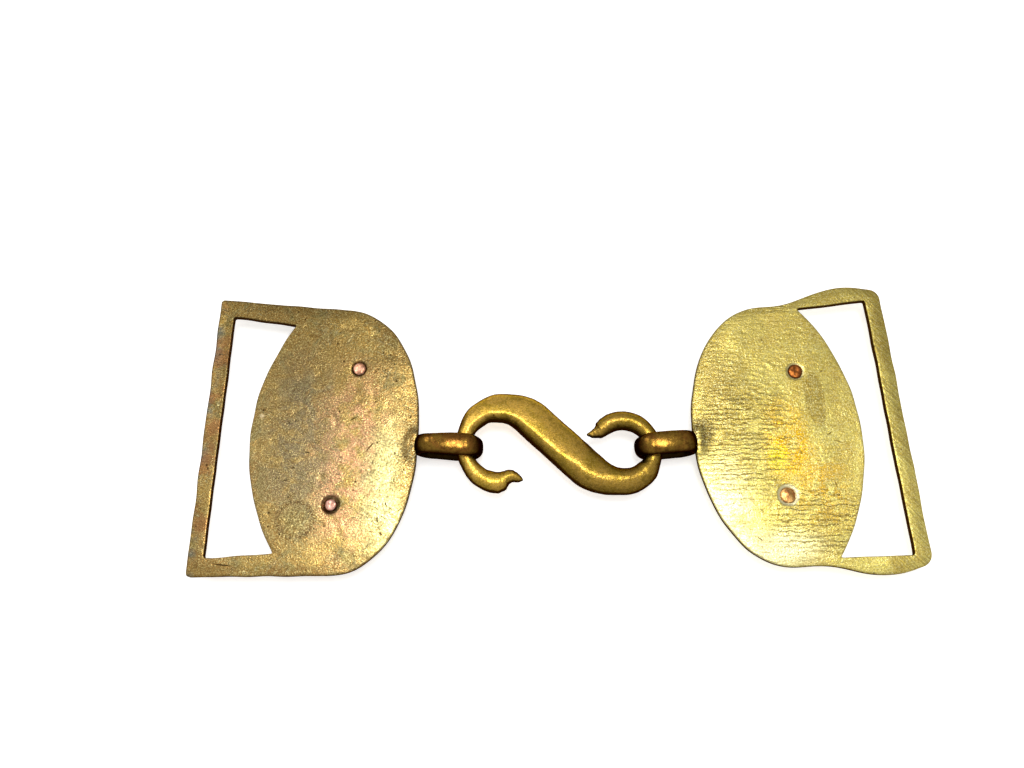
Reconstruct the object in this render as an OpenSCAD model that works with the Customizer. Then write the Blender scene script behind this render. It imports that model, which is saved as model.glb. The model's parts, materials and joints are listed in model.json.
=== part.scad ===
// Snake-hook belt clasp: two slotted plates, each with a brazed loop and a riveted front badge,
// joined by one double-ended S-shaped hook. It lies front down, so +Z points out of the back.
// +X runs along the belt, +Y points up the buckle, and z = 0 is the plane of the two badge rims.

/* [Stock] */
// Thickness of the two plates
plate_thick = 1.8; // [1.2:0.1:2.4]
// Height of each badge between the plate and its front rim
badge_thick = 4; // [3:0.1:5]
// Diameter of the hook where it runs through a loop
wire_d = 3.6; // [3:0.1:4]

/* [Left plate] */
// Distance from the rounded nose to the outer edge of the strap bar
left_len = 44.5; // [43:0.1:48]
// Height of the rounded body
left_body_h = 56.4; // [54:0.1:57]
// Height of the frame at the strap bar
left_bar_h = 59.2; // [58:0.1:64]
// Width of the strap bar
left_bar_w = 3.2; // [2.5:0.1:5]
// Length of the strap slot along the bar
left_slot_h = 51.4; // [48:0.1:53]
// Squareness of the nose curve, where 2 is an ellipse
left_nose_power = 2.25; // [2:0.05:2.6]
// Turn of the plate in the plane of the clasp, in degrees
left_yaw = -3.4; // [-8:0.1:8]

/* [Right plate] */
// Distance from the rounded nose to the outer edge of the strap bar
right_len = 44.1; // [43:0.1:48]
// Height of the rounded body, which is also the waist of the frame
right_body_h = 55.4; // [54:0.1:57]
// Height of the frame at the swell of its arms
right_crown_h = 61.4; // [60:0.1:64]
// Width of the strap bar
right_bar_w = 3.4; // [2.5:0.1:5]
// Length of the strap slot along the bar
right_slot_h = 54.6; // [50:0.1:55]
// Squareness of the nose curve, where 2 is an ellipse
right_nose_power = 2.05; // [2:0.05:2.6]
// Turn of the plate in the plane of the clasp, in degrees
right_yaw = 3.8; // [-8:0.1:8]

/* [Both plates] */
// Depth of the rounded nose
nose_len = 17.5; // [15:0.1:20]
// Radius of the bowed edge that faces the strap bar
bow_r = 44; // [40:0.5:60]
// Distance from the nose to the top of the bowed edge
bow_at = 34.8; // [33:0.1:36]

/* [Loops] */
// Distance from the left hinge line to the nose of the left plate
left_reach = 9.7; // [9:0.1:11]
// Distance from the right hinge line to the nose of the right plate
right_reach = 8.5; // [7.8:0.1:10]
// Distance that the left plate sits above the middle of its loop
left_lift = 0.8; // [-1:0.1:2]
// Distance that the right plate sits above the middle of its loop
right_lift = 0.6; // [-1:0.1:2]
// Width of the loop's band
band_w = 4.6; // [4:0.1:5.4]
// Thickness of the loop's band
band_thick = 1.7; // [1.5:0.1:2.2]
// Radius of the inside of each loop's end
eye_r = 2.2; // [2.1:0.05:2.4]
// Depth of the plate's nose in the slit at the back of the loop
slit_depth = 1.3; // [0.8:0.1:1.6]

/* [Hook] */
// Width of the hook across its straight middle
hook_mid_w = 8; // [6:0.1:9]
// Thickness of the hook through its straight middle
hook_mid_thick = 5.6; // [4:0.1:6]
// Length of the straight middle
hook_mid_len = 14.5; // [12:0.1:15]

/* [Badges] */
// Length of each oval badge across the belt
badge_h = 44; // [42:0.5:46]
// Width of each oval badge along the belt
badge_w = 29; // [28:0.5:30]
// Width of the raised flat rim
rim_w = 2; // [1.5:0.1:3]
// Depth of the badge's field below its rim
field_depth = 1.3; // [0.5:0.1:1.5]

/* [Rivets] */
// Diameter of the rivet holes in the left plate
left_rivet_d = 2.4; // [2:0.1:2.8]
// Diameter of the rivet holes in the right plate
right_rivet_d = 2.8; // [2:0.1:3]

/* [Hidden] */
$fn = 64;

// Height of the common middle plane of the plates, the loops and the hook
mid_z = badge_thick + plate_thick / 2;
plate_top = badge_thick + plate_thick;
// Small overlap that lets a cut run clean through a face
cut = 0.1;

// Left hinge line, placed so that the clasp's outline is centred on the origin
left_hinge = [-18.65, -3.1];

// Corner and crown of the right frame
corner_r = 2.6;
waist_at = 20;
crown_at = 36;
crown_r = 16;

// Strap slots narrow towards the nose by this slope on each side
left_slot_slope = 0.1;
right_slot_slope = 0.05;
slot_root = 25;

// Rivet places: distance from the nose, then height above the plate's long axis
left_upper_at = [13.4, 15.1];
left_lower_at = [16.8, -14];
right_upper_at = [23.2, 12.7];
right_lower_at = [17.5, -13.2];
// Countersinks in the back of each plate, as radii beyond the rivet's own
left_upper_sink = 0.4;
left_lower_sink = 0.65;
right_upper_sink = 0.3;
right_lower_sink = 0.6;
sink_depth = 0.6;
rivet_gap = 0.02;
rivet_bury = 2;
rivet_recess = 0.1;

// Badge centres lie midway between the nose and the bow
badge_at = bow_at / 2;
boss_ratio = 0.45;
boss_drop = 0.3;

// The hook's centreline as a chain of [radius, turn in degrees] arcs, from the left tip to the right tip.
// A negative turn bends clockwise, and a turn of 0 makes the first number a straight length.
hook_chain = [
    [1.8, 0],
    [8, 14],
    [7.7, -98],
    [0.8, 0],
    [7.4, -90],
    [10, -44],
    [hook_mid_len, 0],
    [11.3, 44],
    [6.4, 90],
    [6.3, 112],
    [14, 10],
    [5, -14],
    [1.6, 0]
];
hook_start_heading = 174;
// Index of the arc that starts at the left hinge, and of the one that starts at the right hinge
left_hinge_arc = 3;
right_hinge_arc = 9;
// Width and thickness stations: [arc index, share of that arc, width, thickness]
hook_stations = [
    [0, 0, 0.8, 1],
    [0, 0.3, 2.2, 2.2],
    [0, 1, 3.1, 3],
    [2, 0.1, 4.9, 4],
    [2, 0.4, 4.6, 4],
    [2, 0.8, wire_d, wire_d],
    [4, 0.2, wire_d, wire_d],
    [4, 0.6, 4.9, 4.2],
    [4, 1, 6.2, 4.8],
    [5, 1, hook_mid_w, hook_mid_thick],
    [7, 0, hook_mid_w, hook_mid_thick],
    [7, 1, 5.6, 4.8],
    [8, 0.5, 4.8, 4.3],
    [8, 0.8, wire_d, wire_d],
    [9, 0.25, wire_d, wire_d],
    [9, 1, 4.2, 3.8],
    [10, 0.9, 3.9, 3.5],
    [12, 0, 2.3, 2.3],
    [12, 1, 0.8, 1]
];
hook_rings_per_mm = 0.9;
hook_sides = 18;

function sum_to(list, n) = n <= 0 ? 0 : list[n - 1] + sum_to(list, n - 1);
function arc_len(a) = a[1] == 0 ? a[0] : a[0] * abs(a[1]) * PI / 180;
function smooth(t) = t * t * (3 - 2 * t);

// End of one arc, as [x, y, heading], from its start
function arc_end(p, a, share) =
    let (turn = a[1] * share, side = a[1] > 0 ? 1 : -1)
    a[1] == 0
    ? [p[0] + a[0] * share * cos(p[2]), p[1] + a[0] * share * sin(p[2]), p[2]]
    : [p[0] + side * a[0] * (sin(p[2] + turn) - sin(p[2])),
       p[1] - side * a[0] * (cos(p[2] + turn) - cos(p[2])),
       p[2] + turn];
function chain_start(n) =
    n == 0 ? [0, 0, hook_start_heading] : arc_end(chain_start(n - 1), hook_chain[n - 1], 1);

hook_lengths = [for (a = hook_chain) arc_len(a)];
hook_nodes = [for (n = [0:len(hook_chain) - 1]) chain_start(n)];
hook_shift = left_hinge - [hook_nodes[left_hinge_arc][0], hook_nodes[left_hinge_arc][1]];
right_wire = hook_nodes[right_hinge_arc];
right_c_centre = hook_shift + [right_wire[0] - hook_chain[right_hinge_arc][0], right_wire[1]];
// The right hinge line crosses the hook a little above the widest point of its right end
right_grip = 8;
right_hinge = right_c_centre
    + hook_chain[right_hinge_arc][0] * [cos(right_grip), sin(right_grip)];

station_s = [for (s = hook_stations) sum_to(hook_lengths, s[0]) + s[1] * hook_lengths[s[0]]];
function station_before(s, i = 0) =
    i >= len(station_s) - 2 || station_s[i + 1] > s ? i : station_before(s, i + 1);
function hook_size(s, column) =
    let (i = station_before(s), t = (s - station_s[i]) / (station_s[i + 1] - station_s[i]))
    hook_stations[i][column]
        + (hook_stations[i + 1][column] - hook_stations[i][column]) * smooth(max(0, min(1, t)));

// One ring of the hook's skin: an oval across the centreline
function hook_ring(n, share) =
    let (p = arc_end(hook_nodes[n], hook_chain[n], share),
         s = sum_to(hook_lengths, n) + share * hook_lengths[n],
         w = hook_size(s, 2) / 2,
         h = hook_size(s, 3) / 2)
    [for (k = [0:hook_sides - 1])
        let (a = 360 * k / hook_sides)
        [p[0] + hook_shift[0] - w * cos(a) * sin(p[2]),
         p[1] + hook_shift[1] + w * cos(a) * cos(p[2]),
         mid_z + h * sin(a)]];
hook_rings = [for (n = [0:len(hook_chain) - 1])
    let (steps = max(2, round(hook_lengths[n] * hook_rings_per_mm)))
    for (i = [0:(n == len(hook_chain) - 1 ? steps : steps - 1)]) hook_ring(n, i / steps)];

// Points of a rounded nose, from its lower end to its upper end
function nose_points(half, power) = [for (a = [-90:5:90])
    [nose_len * (1 - pow(cos(a), 2 / power)), half * sign(a) * pow(abs(sin(a)), 2 / power)]];
// Half height of the right frame's arm at a distance from the nose
function arm_half(d) = let (waist = right_body_h / 2, crown = right_crown_h / 2)
    d < crown_at
    ? waist + (crown - waist) * (1 - cos(180 * max(0, d - waist_at) / (crown_at - waist_at))) / 2
    : crown - pow(d - crown_at, 2) / (2 * crown_r);
right_arm = [for (d = [waist_at:1:right_len - corner_r - 0.4]) [d, arm_half(d)]];
right_corner = let (d = right_len - corner_r)
    [for (a = [75:-15:0]) [d + corner_r * cos(a), arm_half(d) - corner_r + corner_r * sin(a)]];
right_upper = concat(right_arm, right_corner);
function flipped(points) = [for (i = [len(points) - 1:-1:0]) [points[i][0], -points[i][1]]];

// Frame of one half: x runs from the hinge line to the plate, y up the plate, z from the middle plane
module left_frame() {
    translate([left_hinge[0], left_hinge[1], mid_z])
        rotate([0, 0, left_yaw])
        mirror([1, 0, 0])
        children();
}
module right_frame() {
    translate([right_hinge[0], right_hinge[1], mid_z])
        rotate([0, 0, right_yaw])
        children();
}
module on_left_plate() {
    left_frame() translate([left_reach, left_lift, 0]) children();
}
module on_right_plate() {
    right_frame() translate([right_reach, right_lift, 0]) children();
}

module left_outline() {
    half = left_body_h / 2;
    polygon(concat(nose_points(half, left_nose_power),
                   [[left_len, left_bar_h / 2], [left_len, -left_bar_h / 2]]));
}
module right_outline() {
    polygon(concat(nose_points(right_body_h / 2, right_nose_power), right_upper, flipped(right_upper)));
}
// Slot between the strap bar and the bowed edge of the plate's body
module slot_outline(bar_inner, slot_h, slope) {
    root = slot_h / 2 - (bar_inner - slot_root) * slope;
    difference() {
        polygon([[slot_root, -root], [bar_inner, -slot_h / 2], [bar_inner, slot_h / 2], [slot_root, root]]);
        translate([bow_at - bow_r, 0]) circle(r = bow_r, $fn = 180);
    }
}
module rivet_hole(at, r, sink) {
    translate([at[0], at[1], -plate_thick / 2 - cut]) cylinder(h = plate_thick + 2 * cut, r = r);
    translate([at[0], at[1], plate_thick / 2 - sink_depth]) cylinder(h = sink_depth + cut, r = r + sink);
}

module left_plate() {
    color("darkgoldenrod") on_left_plate() difference() {
        translate([0, 0, -plate_thick / 2]) linear_extrude(plate_thick) difference() {
            left_outline();
            slot_outline(left_len - left_bar_w, left_slot_h, left_slot_slope);
        }
        rivet_hole(left_upper_at, left_rivet_d / 2, left_upper_sink);
        rivet_hole(left_lower_at, left_rivet_d / 2, left_lower_sink);
    }
}
module right_plate() {
    color("goldenrod") on_right_plate() difference() {
        translate([0, 0, -plate_thick / 2]) linear_extrude(plate_thick) difference() {
            right_outline();
            slot_outline(right_len - right_bar_w, right_slot_h, right_slot_slope);
        }
        rivet_hole(right_upper_at, right_rivet_d / 2, right_upper_sink);
        rivet_hole(right_lower_at, right_rivet_d / 2, right_lower_sink);
    }
}

// Section of the loop's band: flat stock with eased edges, x outwards from the eye, y across the band
module band_section() {
    half = band_w / 2;
    ease = band_thick * 0.28;
    flat = half * 0.4;
    side = half * 0.88;
    polygon([
        [eye_r, -flat], [eye_r, flat],
        [eye_r + ease, side], [eye_r + band_thick / 2, half], [eye_r + band_thick - ease, side],
        [eye_r + band_thick, flat], [eye_r + band_thick, -flat],
        [eye_r + band_thick - ease, -side], [eye_r + band_thick / 2, -half], [eye_r + ease, -side]
    ]);
}
module loop_end() {
    rotate([90, 0, 0]) rotate_extrude(angle = 180) band_section();
}
// Closed loop from the hinge line to the plate, slit at the back for the plate's nose
module loop(reach, lift, outline_half, power) {
    outer = eye_r + band_thick;
    back = reach + slit_depth - outer;
    difference() {
        union() {
            rotate([0, -90, 0]) loop_end();
            translate([back, 0, 0]) rotate([0, 90, 0]) loop_end();
            for (s = [-1, 1])
                rotate([90, 0, 90]) linear_extrude(back) rotate(90 * s) band_section();
        }
        translate([reach, lift, -plate_thick / 2])
            linear_extrude(plate_thick)
            polygon(concat(nose_points(outline_half, power)));
    }
}
module left_loop() {
    color("saddlebrown") left_frame() loop(left_reach, left_lift, left_body_h / 2, left_nose_power);
}
module right_loop() {
    color("saddlebrown") right_frame() loop(right_reach, right_lift, right_body_h / 2, right_nose_power);
}

module snake_hook() {
    rings = len(hook_rings);
    sides = hook_sides;
    color("peru") polyhedron(
        points = [for (ring = hook_rings) for (p = ring) p],
        faces = concat(
            [[for (k = [0:sides - 1]) k]],
            [for (i = [0:rings - 2]) for (k = [0:sides - 1])
                [i * sides + k, (i + 1) * sides + k, (i + 1) * sides + (k + 1) % sides]],
            [for (i = [0:rings - 2]) for (k = [0:sides - 1])
                [i * sides + k, (i + 1) * sides + (k + 1) % sides, i * sides + (k + 1) % sides]],
            [[for (k = [sides - 1:-1:0]) (rings - 1) * sides + k]]
        )
    );
}

module oval(w, h) {
    polygon([for (a = [0:5:355]) [w / 2 * cos(a), h / 2 * sin(a)]]);
}
// Badge: an oval back, a raised flat rim, a sunk field and a low oval boss, pierced for its rivets
module badge(rivets, r) {
    translate([badge_at, 0, -plate_thick / 2 - badge_thick]) difference() {
        union() {
            translate([0, 0, field_depth]) linear_extrude(badge_thick - field_depth) oval(badge_w, badge_h);
            linear_extrude(badge_thick) difference() {
                oval(badge_w, badge_h);
                oval(badge_w - 2 * rim_w, badge_h - 2 * rim_w);
            }
            translate([0, 0, boss_drop])
                linear_extrude(badge_thick - boss_drop)
                oval(badge_w * boss_ratio, badge_h * boss_ratio);
        }
        for (at = rivets)
            translate([at[0] - badge_at, at[1], badge_thick - rivet_bury])
                cylinder(h = rivet_bury + cut, r = r);
    }
}
module left_badge() {
    color("gold") on_left_plate() badge([left_upper_at, left_lower_at], left_rivet_d / 2);
}
module right_badge() {
    color("gold") on_right_plate() badge([right_upper_at, right_lower_at], right_rivet_d / 2);
}

// Rivet: a pin set in the badge and hammered over into the countersink in the plate's back
module rivet(at, hole_r, sink) {
    r = hole_r - rivet_gap;
    top = plate_thick / 2 - rivet_recess;
    color("sienna") translate([at[0], at[1], 0]) {
        translate([0, 0, -plate_thick / 2 - rivet_bury]) cylinder(h = top + plate_thick / 2 + rivet_bury, r = r);
        translate([0, 0, plate_thick / 2 - sink_depth])
            cylinder(h = sink_depth - rivet_recess, r = hole_r + sink * 0.6);
    }
}
module left_rivet_upper() {
    on_left_plate() rivet(left_upper_at, left_rivet_d / 2, left_upper_sink);
}
module left_rivet_lower() {
    on_left_plate() rivet(left_lower_at, left_rivet_d / 2, left_lower_sink);
}
module right_rivet_upper() {
    on_right_plate() rivet(right_upper_at, right_rivet_d / 2, right_upper_sink);
}
module right_rivet_lower() {
    on_right_plate() rivet(right_lower_at, right_rivet_d / 2, right_lower_sink);
}

left_plate();
left_loop();
left_badge();
left_rivet_upper();
left_rivet_lower();
snake_hook();
right_plate();
right_loop();
right_badge();
right_rivet_upper();
right_rivet_lower();
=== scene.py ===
import json
import math
import random

import bmesh
import bpy
import numpy as np
from mathutils import Matrix, Vector, noise
from mathutils.geometry import delaunay_2d_cdt


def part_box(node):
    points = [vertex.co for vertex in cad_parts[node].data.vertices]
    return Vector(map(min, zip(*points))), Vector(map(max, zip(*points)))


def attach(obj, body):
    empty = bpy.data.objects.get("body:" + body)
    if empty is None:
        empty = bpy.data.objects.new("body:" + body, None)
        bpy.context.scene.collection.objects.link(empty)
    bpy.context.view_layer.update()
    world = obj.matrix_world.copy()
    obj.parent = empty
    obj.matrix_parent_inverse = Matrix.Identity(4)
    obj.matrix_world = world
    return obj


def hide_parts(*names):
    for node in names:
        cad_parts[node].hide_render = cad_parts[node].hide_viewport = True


# Snake-hook belt clasp, lying on its front: two slotted brass plates, two loops, two front badges, four
# rivets and one S-shaped hook. Sizes are in millimetres until finish_mesh turns them into the frame's metres.

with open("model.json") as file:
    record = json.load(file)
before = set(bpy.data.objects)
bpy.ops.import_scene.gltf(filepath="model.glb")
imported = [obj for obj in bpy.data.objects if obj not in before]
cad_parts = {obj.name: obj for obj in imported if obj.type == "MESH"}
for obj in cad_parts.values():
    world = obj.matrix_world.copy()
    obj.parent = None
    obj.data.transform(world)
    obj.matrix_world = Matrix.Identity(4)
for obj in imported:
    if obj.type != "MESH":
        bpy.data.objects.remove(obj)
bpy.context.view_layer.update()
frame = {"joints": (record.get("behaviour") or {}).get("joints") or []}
MM = 0.001

# ------------------------ sizes

# As in the CAD model
PLATE_THICK = 1.8
# How far the nose's curve runs along the plate
NOSE_LEN = 17.5
# Radius of the body's bowed edge at the slot, and how far its middle is from the nose
BOW_R, BOW_AT = 44.0, 34.8
# The slot's corners on the bow are looked for from here outwards
SLOT_ROOT = 25.0
BADGE_AT = BOW_AT / 2
BADGE_W, BADGE_H = 29.0, 44.0
BAND_W, BAND_THICK = 4.6, 1.7
EYE_R = 2.2
# How far the rivets reach into the badge
RIVET_BURY = 2.0

# For the looks only: the loops end this far inside the nose, under the braze
ROOT_DEPTH = 0.8
PLATE_EDGE_R, SLOT_EDGE_R, SLOT_CORNER_R = 0.34, 0.2, 0.45
OUTLINE_STEP = 0.32

PLATE_BOTTOM, PLATE_TOP = (corner.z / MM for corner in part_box("left_plate"))
MID_Z = (PLATE_BOTTOM + PLATE_TOP) / 2

# reach and lift run from the hinge to the nose and up to the plate's middle line. grid is the gaps between
# the points of its back
HALVES = {
    "left": {
        "reach": 9.7, "lift": 0.8, "length": 44.5, "body_h": 56.4, "bar_h": 59.2, "bar_w": 3.2,
        "slot_h": 51.4, "slot_slope": 0.1, "nose_power": 2.25, "corner_r": 0.9,
        "root_width": 0.87, "grid": (0.36, 0.33),
        "rivets": {"upper": (13.4, 15.1), "lower": (16.8, -14.0)},
        "seeds": {"edge": 31, "slot": 32, "front": 61, "loop": 3, "badge": 91},
    },
    "right": {
        "reach": 8.5, "lift": 0.6, "length": 44.1, "body_h": 55.4, "crown_h": 61.4, "bar_w": 3.4,
        "slot_h": 54.6, "slot_slope": 0.05, "nose_power": 2.05, "corner_r": 0.5,
        "root_width": 0.97, "grid": (0.5, 0.21),
        "rivets": {"upper": (23.2, 12.7), "lower": (17.5, -13.2)},
        "seeds": {"edge": 41, "slot": 42, "front": 71, "loop": 8, "badge": 95},
    },
}
# Radius of each rivet's hole, radius and depth of its sunk mouth in the plate's back, and radius of its head
RIVETS = {
    ("left", "upper"): {"hole": 1.2, "mouth": 1.62, "depth": 0.42, "head": 1.3},
    ("left", "lower"): {"hole": 1.2, "mouth": 1.9, "depth": 0.55, "head": 1.17},
    ("right", "upper"): {"hole": 1.4, "mouth": 1.75, "depth": 0.2, "head": 1.43},
    ("right", "lower"): {"hole": 1.4, "mouth": 2.15, "depth": 0.26, "head": 1.62},
}


def place_half(side):
    """Adds a half's hinge point and its two directions, read from its joint, to its sizes."""
    joint = next(j for j in frame["joints"] if j["name"] == side + "_fold")
    up = Vector(joint["axis"]) * math.copysign(1, joint["axis"][1])
    outward = -1 if side == "left" else 1
    half = HALVES[side]
    half["hinge"] = Vector(joint["pos_m"]) / MM
    half["up"] = up
    half["out"] = Vector((up.y, -up.x, 0)) * outward
    half["yaw"] = math.atan2(-up.x, up.y)
    half["outward"] = outward


for side_name in HALVES:
    place_half(side_name)

# ------------------------ small helpers


def smooth(t):
    t = np.clip(t, 0, 1)
    return t * t * (3 - 2 * t)


def around(count):
    """Angles of count points spread evenly round a full turn."""
    return np.linspace(0, math.tau, count, endpoint=False)


def powered(v, power):
    """A power that keeps the sign of the value."""
    return np.sign(v) * np.abs(v) ** power


def bell(x, width):
    return np.exp(-((x / width) ** 2))


def waves(x, y, size, seed, count=9):
    """A smooth random field of about -1 to 1 whose bumps are about size across."""
    rng = random.Random(seed)
    total = np.zeros_like(x, dtype=float)
    for _ in range(count):
        turn = rng.uniform(0, math.tau)
        pitch = math.tau / (size * rng.uniform(1.2, 2.8))
        total += np.sin(pitch * (x * math.cos(turn) + y * math.sin(turn)) + rng.uniform(0, math.tau))
    return total / math.sqrt(count)


def rough(points, size, seed):
    """Perlin noise at 3-D points, with bumps about size across."""
    shift = Vector((seed * 7.1, seed * 3.7, seed * 1.9))
    return np.array([noise.noise(Vector(p) / size + shift) for p in points])


def finish_mesh(name, verts, faces, material, body, replaces):
    """A closed, smooth-shaded piece from points in row millimetres, which rides on its body."""
    mesh = bpy.data.meshes.new(name)
    mesh.from_pydata((np.asarray(verts) * MM).tolist(), [], [tuple(map(int, f)) for f in faces])
    work = bmesh.new()
    work.from_mesh(mesh)
    bmesh.ops.remove_doubles(work, verts=work.verts, dist=1e-7)
    bmesh.ops.recalc_face_normals(work, faces=work.faces)
    if work.calc_volume(signed=True) < 0:
        bmesh.ops.reverse_faces(work, faces=work.faces)
    for face in work.faces:
        face.smooth = True
    work.to_mesh(mesh)
    work.free()
    mesh.materials.append(material)
    piece = bpy.data.objects.new(name, mesh)
    bpy.context.scene.collection.objects.link(piece)
    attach(piece, body)
    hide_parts(replaces)


def to_row(side, local):
    """Row millimetres of points in a half's frame: x from the hinge, y up the plate, z from mid-plane."""
    half = HALVES[side]
    local = np.asarray(local, float)
    return (np.array(half["hinge"])
            + local[:, :1] * np.array(half["out"])
            + local[:, 1:2] * np.array(half["up"])
            + local[:, 2:] * np.array((0.0, 0.0, 1.0)))


def on_plate(side, points):
    """Points in a half's frame of points measured from its plate's nose."""
    half = HALVES[side]
    return np.asarray(points, float) + (half["reach"], half["lift"], 0)


def stitched(rings, closed_path):
    """Quads that join rings of equal length one after another, and the last to the first on a closed path."""
    count, sides = len(rings), len(rings[0])
    pairs = range(count if closed_path else count - 1)
    return [((i % count) * sides + k,
             ((i + 1) % count) * sides + k,
             ((i + 1) % count) * sides + (k + 1) % sides,
             (i % count) * sides + (k + 1) % sides)
            for i in pairs for k in range(sides)]


def capped(rings):
    """Points and faces of a tube of rings with a flat face over each end."""
    verts, sides = np.vstack(rings), len(rings[0])
    end = len(verts)
    return verts, stitched(rings, False) + [tuple(range(sides)), tuple(range(end - 1, end - sides - 1, -1))]


# ------------------------ outlines


def arc_corners(points, radius, sharp=22):
    """The closed outline with each corner of more than sharp degrees turned into an arc."""
    made = []
    count = len(points)
    for i, p in enumerate(points):
        before, after = points[i - 1], points[(i + 1) % count]
        into, away = p - before, after - p
        len_in, len_out = np.hypot(*into), np.hypot(*away)
        into, away = into / len_in, away / len_out
        turn = math.acos(np.clip(into @ away, -1, 1))
        if math.degrees(turn) < sharp:
            made.append(p)
            continue
        reach = min(radius * math.tan(turn / 2), 0.45 * len_in, 0.45 * len_out)
        start, end = p - into * reach, p + away * reach
        for t in np.linspace(0, 1, 7):
            made.append((1 - t) ** 2 * start + 2 * t * (1 - t) * p + t * t * end)
    return np.array(made)


def resampled(points, step):
    """A closed outline with points about step apart."""
    ring = np.vstack([points, points[:1]])
    along = np.concatenate([[0], np.cumsum(np.hypot(*np.diff(ring, axis=0).T))])
    spots = np.linspace(0, along[-1], int(along[-1] / step), endpoint=False)
    return np.column_stack([np.interp(spots, along, ring[:, k]) for k in (0, 1)])


def metal_on_left(points, is_hole):
    x, y = points.T
    area = np.sum(x * np.roll(y, -1) - y * np.roll(x, -1)) / 2
    return points if (area < 0) == is_hole else points[::-1]


def inward(points):
    """Unit directions into the metal, which lies to the left of the outline."""
    along = np.roll(points, -1, 0) - np.roll(points, 1, 0)
    along /= np.hypot(*along.T)[:, None]
    return np.column_stack([-along[:, 1], along[:, 0]])


def nose_curve(half, power):
    a = np.radians(np.arange(-90, 90.1, 2))
    reach = 2 / power
    return np.column_stack([NOSE_LEN * (1 - np.cos(a).clip(0) ** reach),
                            half * powered(np.sin(a), reach)])


def left_outline():
    half = HALVES["left"]
    nose = nose_curve(half["body_h"] / 2, half["nose_power"])
    length, bar = half["length"], half["bar_h"] / 2
    return np.vstack([nose, [[length, bar], [length, -bar]]])


def right_outline():
    half = HALVES["right"]
    waist_at, crown_at, crown_r, corner_r = 20, 36, 16, 2.6
    waist, crown = half["body_h"] / 2, half["crown_h"] / 2

    def arm(d):
        rise = (1 - np.cos(np.pi * np.clip((d - waist_at) / (crown_at - waist_at), 0, 1))) / 2
        rounded = crown - (d - crown_at) ** 2 / (2 * crown_r)
        return np.where(d < crown_at, waist + (crown - waist) * rise, rounded)

    d = np.arange(waist_at, half["length"] - corner_r - 0.4, 0.5)
    top = np.column_stack([d, arm(d)])
    turn = np.radians(np.arange(75, -1, -15))
    centre = half["length"] - corner_r
    corner = np.column_stack([centre + corner_r * np.cos(turn),
                              float(arm(np.array(centre))) - corner_r + corner_r * np.sin(turn)])
    upper = np.vstack([top, corner])
    return np.vstack([nose_curve(waist, half["nose_power"]), upper, upper[::-1] * (1, -1)])


def slot_outline(side):
    """The strap slot: straight sides that narrow to the bowed edge of the plate's body."""
    half = HALVES[side]
    inner = half["length"] - half["bar_w"]
    tall = half["slot_h"] / 2
    centre = BOW_AT - BOW_R

    def side_y(x):
        return tall - (inner - x) * half["slot_slope"]

    low, high = SLOT_ROOT, BOW_AT
    for _ in range(40):
        mid = (low + high) / 2
        if math.hypot(mid - centre, side_y(mid)) > BOW_R:
            high = mid
        else:
            low = mid
    meet = math.atan2(side_y(low), low - centre)
    turn = np.linspace(-meet, meet, 60)
    bow = np.column_stack([centre + BOW_R * np.cos(turn), BOW_R * np.sin(turn)])
    return np.vstack([bow, [[inner, tall], [inner, -tall]]])


def circle(centre, radius):
    turn = around(40)
    return np.column_stack([centre[0] + radius * np.cos(turn), centre[1] + radius * np.sin(turn)])


def hand_cut(points, size, amount, seed):
    """The outline moved in and out a little, as a saw and a file leave it."""
    return points + inward(points) * (waves(points[:, 0], points[:, 1], size, seed) * amount)[:, None]


# ------------------------ plates


def inside(points, outline):
    """True for each point that lies inside the closed outline."""
    hit = np.zeros(len(points), bool)
    x, y = points.T
    for (x0, y0), (x1, y1) in zip(outline, np.roll(outline, -1, 0)):
        if y0 == y1:
            continue
        crosses = (y0 > y) != (y1 > y)
        hit ^= crosses & (x < (x1 - x0) * (y - y0) / (y1 - y0) + x0)
    return hit


def in_metal(points, outlines):
    """True for each point inside the first outline and outside the others, which are holes."""
    keep = inside(points, outlines[0])
    for hole in outlines[1:]:
        keep &= ~inside(points, hole)
    return keep


def near(points, outlines, distance):
    """Distance from each point to the nearest outline point, held to distance."""
    edge = np.vstack(outlines)
    best = np.full(len(points), distance, float)
    for start in range(0, len(points), 2000):
        part = points[start:start + 2000]
        gap = np.hypot(part[:, None, 0] - edge[None, :, 0], part[:, None, 1] - edge[None, :, 1]).min(1)
        best[start:start + 2000] = np.minimum(gap, distance)
    return best


def grid_inside(outlines, dx, dy, margin, seed):
    """A jittered grid of points in the metal between the outlines and clear of all of them."""
    low, high = outlines[0].min(0), outlines[0].max(0)
    xs, ys = np.arange(low[0], high[0], dx), np.arange(low[1], high[1], dy)
    x, y = np.meshgrid(xs, ys)
    x = x + (np.arange(len(ys)) % 2)[:, None] * dx / 2
    rng = np.random.default_rng(seed)
    points = np.column_stack([x.ravel(), y.ravel()])
    points += rng.uniform(-0.12, 0.12, points.shape) * (dx, dy)
    points = points[in_metal(points, outlines)]
    return points[near(points, outlines, 9) > margin]


def filled(outlines, grid):
    """Triangles over the outlines' points, then the grid's, that fill the metal between the outlines."""
    points = np.vstack([*outlines, grid])
    edges, start = [], 0
    for ring in outlines:
        count = len(ring)
        edges += [(start + k, start + (k + 1) % count) for k in range(count)]
        start += count
    made = delaunay_2d_cdt([Vector(p) for p in points], edges, [], 0, 1e-7)
    index = np.array([o[0] if o else -1 for o in made[3]])
    triangles = index[np.array([f for f in made[2] if len(f) == 3])]
    triangles = triangles[(triangles >= 0).all(1)]
    return triangles[in_metal(points[triangles].mean(1), outlines)]


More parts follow.
